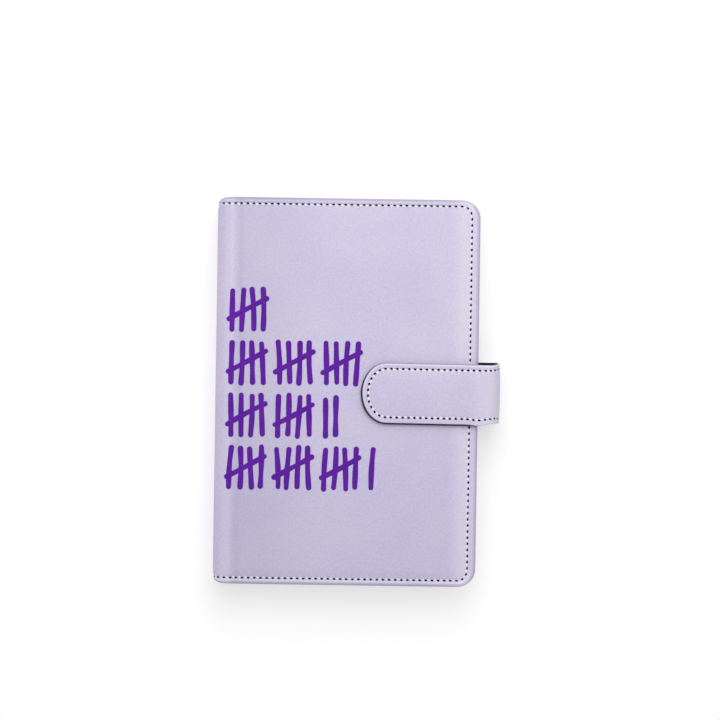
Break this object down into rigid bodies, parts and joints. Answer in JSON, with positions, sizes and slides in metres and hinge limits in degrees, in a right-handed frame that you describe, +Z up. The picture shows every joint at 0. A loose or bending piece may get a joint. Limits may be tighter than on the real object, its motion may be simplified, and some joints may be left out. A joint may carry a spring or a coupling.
{
  "type": "cash envelope wallet",
  "caption": "Closed ring binder wallet in padded faux leather with a magnetic strap, holding a pile of paper cash envelopes; the cover and the strap open.",
  "frame": {"origin": "centre of the back cover's outer face, which the closed wallet lies on", "axes": "+X towards the fore edge and the strap, +Y towards the head, +Z up through the front cover"},
  "size_m": [0.1401, 0.19, 0.0344],
  "materials": {
    "cover": "smooth lavender faux leather, low sheen",
    "lining": "thin matt lavender faux leather",
    "backing": "dark woven strap backing",
    "foam": "thin soft padding, hidden",
    "board": "grey board, hidden",
    "metal": "bright nickel plate",
    "paper": "uncoated off-white paper",
    "print": "thin purple heat-pressed film"
  },
  "bodies": {
    "binder": {"back_board": "board", "back_foam": "foam", "back_lining": "lining", "back_pocket": "lining", "back_skin": "cover", "envelopes": "paper", "ring_1_back": "metal", "ring_1_front": "metal", "ring_2_back": "metal", "ring_2_front": "metal", "ring_3_back": "metal", "ring_3_front": "metal", "ring_4_back": "metal", "ring_4_front": "metal", "ring_5_back": "metal", "ring_5_front": "metal", "ring_6_back": "metal", "ring_6_front": "metal", "ring_base": "metal", "ring_blade_back": "metal", "ring_blade_front": "metal", "rivet_head": "metal", "rivet_tail": "metal", "spine_board": "board", "spine_lining": "lining", "spine_skin": "cover", "strap_side": "cover", "strap_side_backing": "backing"},
    "front_cover": {"card_slots": "lining", "front_board": "board", "front_foam": "foam", "front_lining": "lining", "front_pocket": "lining", "front_skin": "cover", "snap_post": "metal", "tally_1_1": "print", "tally_2_1": "print", "tally_2_2": "print", "tally_2_3": "print", "tally_3_1": "print", "tally_3_2": "print", "tally_3_single_1": "print", "tally_3_single_2": "print", "tally_4_1": "print", "tally_4_2": "print", "tally_4_3": "print", "tally_4_single_1": "print"},
    "strap": {"strap_flap": "cover", "strap_flap_backing": "backing", "snap_cup": "metal"}
  },
  "joints": [
    {"name": "front_cover_hinge", "type": "hinge", "parent": "binder", "child": "front_cover", "pos_m": [-0.0646, 0, 0.031], "axis": [0, -1, 0], "range_deg": [0, 190], "deforming": ["strap_flap", "strap_flap_backing", "snap_cup"]},
    {"name": "strap_hinge", "type": "hinge", "parent": "binder", "child": "strap", "pos_m": [0.07231, -0.0005, 0.03121], "axis": [0, 1, 0], "range_deg": [0, 170]}
  ]
}
